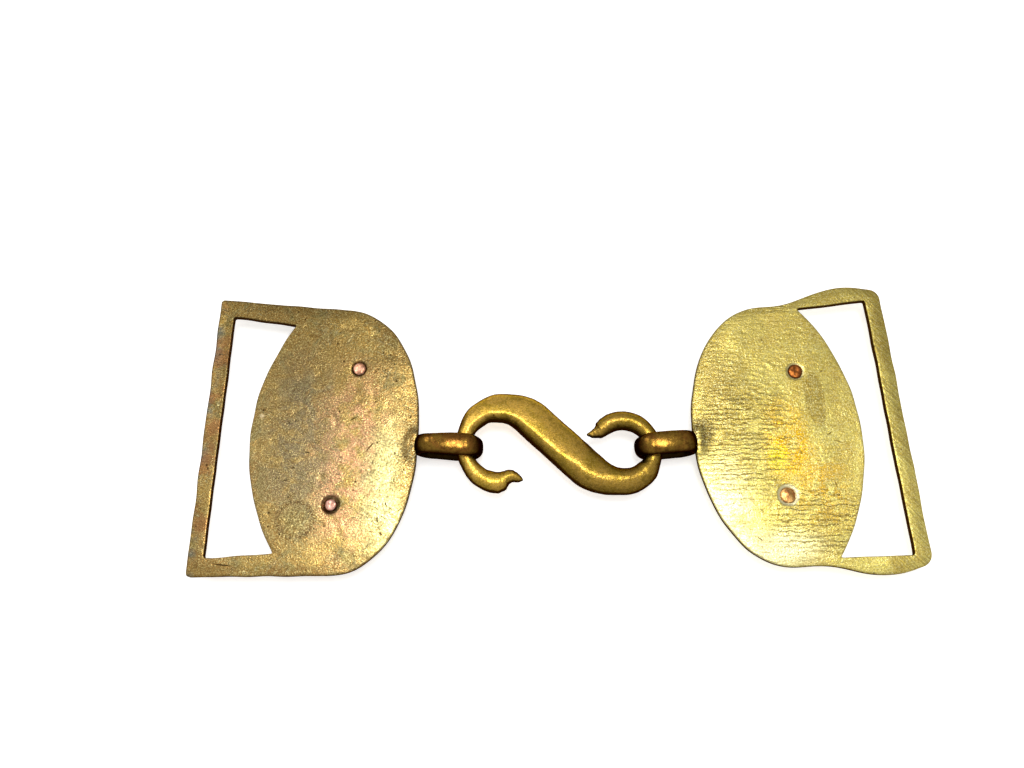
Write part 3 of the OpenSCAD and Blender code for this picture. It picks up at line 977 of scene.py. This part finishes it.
def left_plate_metal():
    g = Metal("left_plate_aged_brass", "left")
    x, y = g.axis(g.at, 0), g.axis(g.at, 1)
    cloud, patch = g.noise(9.0, 5, 0.6, 0.4), g.noise(4.0, 5, 0.65, 0.8)
    spots, fine, grain = g.noise(1.3, 3, 0.6), g.noise(0.42, 2, 0.6), g.noise(0.22, 1, 0.5)
    olive = (146, 134, 80)
    g.base(cloud, 0.4, 0.6, (196, 154, 88), (214, 174, 94))
    g.tint(g.spread(y, 2, 24, 0, 0.5), (178, 142, 70))
    g.tint(g.spread(patch, 0.5, 0.66, 0, 0.75), olive)
    blush = g.ragged((14, -5), (1.0, 0.45), 3, 12, (3.2, 4, 0.6), 0.38, 0.54)
    g.tint(g.times(blush, 0.9), (238, 172, 130))
    shade = g.times(g.spot((24.5, -1), (1.0, 0.42), 3, 12), 0.9)
    g.tint(g.times(shade, g.spread(patch, 0.36, 0.56, 0.35, 1)), (138, 122, 98))
    # Painted highlight: a pale, broken patch where the light's reflection falls on the nose side.
    painted_highlight = g.ragged((5.6, -11), (0.85, 0.33), 1.5, 7.0, (2.6, 5, 0.65), 0.34, 0.56, 0.2)
    g.tint(painted_highlight, (252, 240, 160))
    # Painted shade: darker gold along the nose edge, where the highlight falls off.
    g.tint(g.spot((0.2, -4.5), (1.0, 0.26), 1.4, 6.4, 0.92), (140, 104, 50))
    ring_at, ring_r = (23.7, -17.4), 3.6
    ring = g.math("ABSOLUTE", g.less(g.distance(ring_at), ring_r))
    stain = g.times(g.spread(ring, 0.1, 0.9, 1.0, 0.0), g.spread(patch, 0.35, 0.6, 0.45, 0.9))
    g.tint(stain, (112, 82, 50))
    g.tint(g.spot(ring_at, (1, 1), 1.5, 3.8, 0.5), olive)
    g.tint(g.spread(spots, 0.5, 0.7, 0.0, 0.45), (134, 102, 52))
    g.tint(g.spread(fine, 0.44, 0.62, 0.0, 0.55), (104, 78, 36))
    g.tint(g.spread(grain, 0.52, 0.64, 0.0, 0.6), (255, 236, 160))
    bar_grey = g.times(g.spread(x, 42.2, 43.8), g.spread(g.noise(7, 3), 0.45, 0.6, 0, 0.7))
    g.tint(bar_grey, (116, 130, 124))
    bar_red = g.times(g.spread(x, 38, 41), g.spread(g.noise(5, 3), 0.5, 0.64, 0, 0.6))
    g.tint(bar_red, (176, 118, 74))
    marks = g.most(g.scratches(58, 5, 0.5, 0.02, 3), g.scratches(-24, 6, 0.6, 0.018, 8))
    g.tint(g.times(marks, 0.7), (255, 240, 178))
    nicks = g.strokes([
        ((9.8, -1.7), -52, 3.2, 0.5), ((37.3, -27.0), 4, 4.5, 0.42), ((7.1, -16.7), 78, 1.6, 0.5),
        ((9.0, -4.9), -80, 1.5, 0.3), ((5.6, -13.5), 70, 1.1, 0.4), ((13.6, 4.2), -30, 2.4, 0.3),
        ((22.6, -3.4), 8, 1.4, 0.4), ((6.2, -19.5), 40, 0.9, 0.5), ((26.6, -9.4), -20, 1.6, 0.3)])
    pits = g.most(g.pits(1.5, 0.1, 0.17, 0.49, 0.58), nicks)
    g.tint(g.times(pits, 0.85), (70, 48, 20))
    g.tint(g.stroke((32.8, 4.0), 20, 1.3, 1.1), (250, 224, 170))
    g.dim(y, -22, 26, 0.78, 0.5)
    g.dim(x, 6, 24, 1.0, 0.88)
    # Painted shade: the plate's walls are darkened.
    g.shade_walls((62, 40, 16))
    roughness = g.math("ADD", g.spread(fine, 0.3, 0.7, 0.22, 0.34), g.spread(patch, 0.45, 0.65, 0.0, 0.08))
    return g.finish(g.dull_walls(roughness), [(g.noise(2.2, 3, 0.55), 0.02), (fine, 0.04), (grain, 0.022),
                                              (g.less(1.0, g.most(marks, pits)), 0.03)])


def right_plate_metal():
    g = Metal("right_plate_filed_brass", "right")
    x, y = g.axis(g.at, 0), g.axis(g.at, 1)
    cloud, patch = g.noise(8.0, 4, 0.6, 0.5), g.noise(3.6, 5, 0.65, 0.8)
    fine, grain = g.noise(0.4, 2, 0.6), g.noise(0.21, 1, 0.5)
    g.base(cloud, 0.4, 0.62, (218, 194, 94), (232, 214, 112))
    g.tint(g.spread(y, 4, 26, 0, 0.5), (214, 188, 88))
    g.tint(g.spread(patch, 0.5, 0.68, 0, 0.5), (188, 158, 72))
    # Painted glow of reflected light: an amber patch, with a near-white yellow spot at its brightest.
    painted_glow = g.ragged((19.0, -2.6), (0.9, 0.5), 1.5, 6.5, (2.6, 4, 0.6), 0.38, 0.56, 0.2)
    g.tint(painted_glow, (246, 190, 14))
    g.tint(g.spot((16.6, -5.4), (1.0, 0.8), 0.8, 3.0, 0.8), (255, 232, 40))
    # Painted highlight: pale patches where the light's glare falls, at the lower left and along the lower
    # edge.
    pale = g.ragged((5.0, -15), (0.8, 0.42), 1, 6.5, (2.4, 4, 0.6), 0.36, 0.56, 0.35)
    g.tint(pale, (250, 240, 176))
    g.tint(g.spot((14, -24), (0.42, 0.9), 1, 5.5, 0.7), (246, 240, 190))
    g.tint(g.spot((4, 10), (0.8, 0.55), 2, 10, 0.75), (160, 136, 62))
    amber = g.ragged((24.5, -12.5), (0.75, 0.5), 1, 6.5, (2.2, 5, 0.65, 0.6), 0.42, 0.52)
    g.tint(g.times(amber, 0.8), (220, 170, 40))
    thumb = g.spot((26.3, 6.3), (1.0, 0.36), 1.9, 2.3, 0.75)
    g.tint(thumb, (176, 150, 66))
    smear = g.ragged((1.8, 1.2), (1.0, 0.72), 1.2, 3.0, (1.0, 4, 0.65), 0.4, 0.54)
    g.tint(g.times(smear, 0.9), (112, 92, 52))
    zone = g.math("ADD", g.spot((11, -1), (0.8, 0.7), 4, 11), g.spot((24, -19), (0.6, 0.9), 3, 8, 0.9),
                  clamp=True)
    zone = g.times(g.math("ADD", zone, 0.25, clamp=True), g.spread(x, 30, 34, 1.0, 0.0))
    tilted = g.mapped(g.at, Rotation=(0, 0, math.radians(5)))
    wrinkles = g.most(g.rows(tilted, 1.05, 5.5, 0.16), g.times(g.rows(tilted, 0.62, 7, 0.1), 0.5))
    broken = g.noise(1.3, 3, where=g.turned(5, (0.3, 1.0, 1)))
    wrinkles = g.times(g.times(wrinkles, zone), g.spread(broken, 0.36, 0.54, 0.0, 1))
    g.tint(g.times(wrinkles, 0.75), (138, 110, 44))
    g.tint(g.spread(fine, 0.44, 0.64, 0.0, 0.45), (140, 112, 46))
    g.tint(g.spread(grain, 0.52, 0.64, 0.0, 0.6), (255, 248, 180))
    file_marks = g.noise(0.7, 2, 0.5, where=g.turned(52, (0.12, 2.4, 1)))
    on_frame = g.spread(x, 32.5, 36)
    g.tint(g.times(g.times(on_frame, g.spread(file_marks, 0.48, 0.6)), 0.4), (140, 114, 52))
    nicks = g.strokes([((29.5, -3.0), -24, 2.6, 0.3), ((28.0, -1.2), 30, 1.8, 0.3),
                       ((10.4, -21.5), -40, 2.0, 0.3), ((27.5, -11.8), -75, 2.2, 0.3)])
    g.tint(g.times(g.most(g.pits(2.0, 0.07, 0.12, 0.48, 0.6), nicks), 0.8), (92, 66, 26))
    for level, clean in (("upper", 0.35), ("lower", 0.8)):
        mouth = RIVETS["right", level]["mouth"]
        place = HALVES["right"]["rivets"][level]
        g.tint(g.spot(place, (1, 1), mouth - 0.05, mouth + 0.25, clean), (255, 246, 196))
    g.dim(y, -24, 20, 1.0, 0.72)
    # Painted shade: the plate's walls are darkened.
    g.shade_walls((70, 46, 16))
    roughness = g.math("ADD", g.spread(fine, 0.3, 0.7, 0.26, 0.38), g.spread(patch, 0.45, 0.7, 0.0, 0.08))
    ripples = g.noise(1.1, 3, 0.6, 0.6, g.turned(4, (0.22, 1.0, 1)))
    return g.finish(g.dull_walls(roughness), [
        (g.noise(2.0, 4, 0.6), 0.05), (g.times(ripples, zone), 0.12), (g.less(1.0, wrinkles), 0.07),
        (g.times(file_marks, on_frame), 0.05), (fine, 0.04), (grain, 0.022)])


def hook_metal():
    g = Metal("hook_cast_brass")
    cloud, fine, grain = g.noise(4.5, 4, 0.6, 0.5), g.noise(0.42, 3, 0.6), g.noise(0.2, 1, 0.5)
    g.base(cloud, 0.4, 0.62, (226, 180, 78), (204, 166, 60))
    g.tint(g.spread(g.noise(2.0, 4, 0.6), 0.5, 0.68, 0, 0.6), (150, 122, 36))
    g.tint(g.spread(fine, 0.44, 0.64, 0.0, 0.5), (120, 90, 28))
    g.tint(g.spread(grain, 0.54, 0.68, 0.0, 0.5), (244, 208, 120))
    pits = g.add("ShaderNodeTexVoronoi", {"Vector": g.at, "Scale": 1 / 3.4}).outputs["Distance"]
    g.tint(g.spread(pits, 0.045, 0.07, 0.8, 0.0), (96, 40, 20))
    # Brighter towards the left head, where a highlight is painted, and darker towards the right bend.
    g.dim(g.axis(g.at, 0), -12, 14, 1.2, 0.68)
    # Painted shade: the hook's sides and underside are darkened.
    g.shade_walls((40, 26, 6), 0.46, 0.96)
    roughness = g.dull_walls(g.spread(fine, 0.3, 0.7, 0.26, 0.4), 0.1, 0.6, 0.7)
    return g.finish(roughness, [(g.noise(1.3, 3, 0.6), 0.05), (fine, 0.05), (grain, 0.025)])


def loop_metal():
    g = Metal("loop_dark_bronze")
    cloud, fine = g.noise(2.4, 4, 0.6, 0.4), g.noise(0.4, 3, 0.6)
    g.base(cloud, 0.4, 0.62, (146, 112, 44), (134, 90, 38))
    g.tint(g.spread(g.noise(1.1, 4, 0.6), 0.48, 0.66, 0, 0.6), (86, 54, 20))
    g.tint(g.spread(fine, 0.45, 0.66, 0.0, 0.45), (70, 42, 16))
    # Painted shade: the loop's sides are darkened.
    g.shade_walls((34, 13, 4), 0.5, 0.96)
    # Painted shadow: the inside of the lower run, seen through the eye, is painted near black where the upper
    # run shades it
    inside_run_shadow = g.times(g.spread(g.backness(), -0.2, 0.1), g.spread(g.axis(g.at, 2), 6.4, 7.6, 1.0, 0.0))
    g.tint(g.times(inside_run_shadow, 0.95), (16, 7, 2))
    roughness = g.dull_walls(g.spread(fine, 0.3, 0.7, 0.16, 0.3), 0.3, 0.8, 0.7)
    return g.finish(roughness, [(g.noise(1.0, 3, 0.6), 0.04), (fine, 0.014)])


def rivet_metal(name, light, dark):
    g = Metal(name)
    fine = g.noise(0.35, 3, 0.6)
    g.base(g.noise(0.9, 3, 0.6), 0.38, 0.62, light, dark)
    g.tint(g.spread(fine, 0.42, 0.7, 0.0, 0.45), (98, 56, 36))
    # Painted shade: the rivet's walls are darkened.
    g.shade_walls((50, 26, 14), 0.2, 0.8)
    return g.finish(g.spread(fine, 0.3, 0.7, 0.26, 0.42), [(g.noise(0.8, 3, 0.6), 0.06), (fine, 0.03)])


def badge_metal():
    g = Metal("badge_relief_brass")
    fine = g.noise(0.5, 3, 0.6)
    g.base(g.noise(5.0, 4, 0.6), 0.4, 0.62, (214, 178, 92), (196, 158, 74))
    g.tint(g.spread(fine, 0.45, 0.72, 0.0, 0.3), (140, 104, 44))
    hollow = g.spread(g.axis(g.at, 2), 0.25, 1.2)
    g.tint(g.times(hollow, 0.8), (84, 58, 24))
    roughness = g.math("ADD", g.spread(fine, 0.3, 0.7, 0.22, 0.34), g.times(hollow, 0.2))
    return g.finish(roughness, [(g.noise(1.6, 3, 0.6), 0.03), (fine, 0.012)])


# ------------------------ stage, light and camera


def make_camera():
    """A camera above the back of the clasp, leaning a little towards its lower edge."""
    elevation, roll, distance = math.radians(73.4), math.radians(-1.1), 210
    aim = Vector((-8.6, 10.1, PLATE_TOP))
    forward = Vector((0, math.cos(elevation), -math.sin(elevation)))
    level, above = Vector((1, 0, 0)), Vector((0, math.sin(elevation), math.cos(elevation)))
    right = level * math.cos(roll) + above * math.sin(roll)
    up = above * math.cos(roll) - level * math.sin(roll)
    data = bpy.data.cameras.new("camera")
    data.sensor_width = 36
    data.lens = 35.16
    data.clip_start = 0.005
    camera = bpy.data.objects.new("camera", data)
    turned = Matrix((right, up, -forward)).transposed().to_4x4()
    camera.matrix_world = Matrix.Translation((aim - forward * distance) * MM) @ turned
    bpy.context.scene.collection.objects.link(camera)
    bpy.context.scene.camera = camera


def make_floor():
    """A pale floor that shows from above only, so that the clasp's front can be seen from below."""
    reach = 4.0
    mesh = bpy.data.meshes.new("floor")
    corners = [(reach * x, reach * y, 0) for x, y in ((-1, -1), (1, -1), (1, 1), (-1, 1))]
    mesh.from_pydata(corners, [], [(0, 1, 2, 3)])
    floor = bpy.data.objects.new("floor", mesh)
    bpy.context.scene.collection.objects.link(floor)
    floor.location.z = -0.0001
    material = bpy.data.materials.new("floor_white")
    material.use_nodes = True
    tree = material.node_tree
    shader = tree.nodes["Principled BSDF"]
    for key, value in (("Base Color", (0.95, 0.95, 0.95, 1)), ("Roughness", 0.9), ("Specular IOR Level", 0.0),
                       ("Emission Color", (1, 1, 1, 1)), ("Emission Strength", 0.55)):
        shader.inputs[key].default_value = value
    clear = tree.nodes.new("ShaderNodeBsdfTransparent")
    side = tree.nodes.new("ShaderNodeNewGeometry")
    blend = tree.nodes.new("ShaderNodeMixShader")
    tree.links.new(side.outputs["Backfacing"], blend.inputs[0])
    tree.links.new(shader.outputs[0], blend.inputs[1])
    tree.links.new(clear.outputs[0], blend.inputs[2])
    tree.links.new(blend.outputs[0], tree.nodes["Material Output"].inputs[0])
    mesh.materials.append(material)


def make_world():
    """Soft studio surroundings, brightest overhead."""
    world = bpy.data.worlds.new("studio")
    bpy.context.scene.world = world
    world.use_nodes = True
    tree = world.node_tree
    back = tree.nodes["Background"]
    where = tree.nodes.new("ShaderNodeTexCoord")
    split = tree.nodes.new("ShaderNodeSeparateXYZ")
    ramp = tree.nodes.new("ShaderNodeMapRange")
    ramp.interpolation_type = "SMOOTHSTEP"
    for key, value in ((1, 0.0), (2, 1.0), (3, 0.3), (4, 0.64)):
        ramp.inputs[key].default_value = value
    tree.links.new(where.outputs["Generated"], split.inputs[0])
    tree.links.new(split.outputs[2], ramp.inputs[0])
    tree.links.new(ramp.outputs[0], back.inputs["Strength"])
    back.inputs["Color"].default_value = (1, 1, 1, 1)


def make_light(name, place, aim, size, power):
    data = bpy.data.lights.new(name, "AREA")
    data.shape = "DISK"
    data.size = size
    data.energy = power
    light = bpy.data.objects.new(name, data)
    light.location = place
    light.rotation_mode = "QUATERNION"
    light.rotation_quaternion = (Vector(aim) - Vector(place)).to_track_quat("-Z", "Y")
    bpy.context.scene.collection.objects.link(light)


def make_lights():
    make_light("key", (0.016, 0.07, 0.606), (0, -0.02, 0), 0.22, 1.3)
    make_light("fill", (-0.4, 0.3, 0.5), (0, 0, 0), 0.3, 0.5)


# ------------------------ assembly

bpy.context.scene.view_settings.view_transform = "Standard"
make_camera()
make_floor()
make_world()
make_lights()

plate_metals = {"left": left_plate_metal(), "right": right_plate_metal()}
rivet_shades = {
    ("left", "upper"): ((236, 182, 152), (204, 146, 112)),
    ("left", "lower"): ((226, 178, 158), (196, 140, 118)),
    ("right", "upper"): ((158, 94, 42), (128, 72, 30)),
    ("right", "lower"): ((238, 188, 112), (196, 134, 78)),
}
bronze = loop_metal()
relief = badge_metal()
for side_name in HALVES:
    make_plate(side_name, plate_metals[side_name])
    make_loop(side_name, bronze)
    make_badge(side_name, relief)
    for level_name in ("upper", "lower"):
        shades = rivet_shades[side_name, level_name]
        make_rivet(side_name, level_name, rivet_metal(f"{side_name}_rivet_{level_name}_copper", *shades))
make_hook(hook_metal())
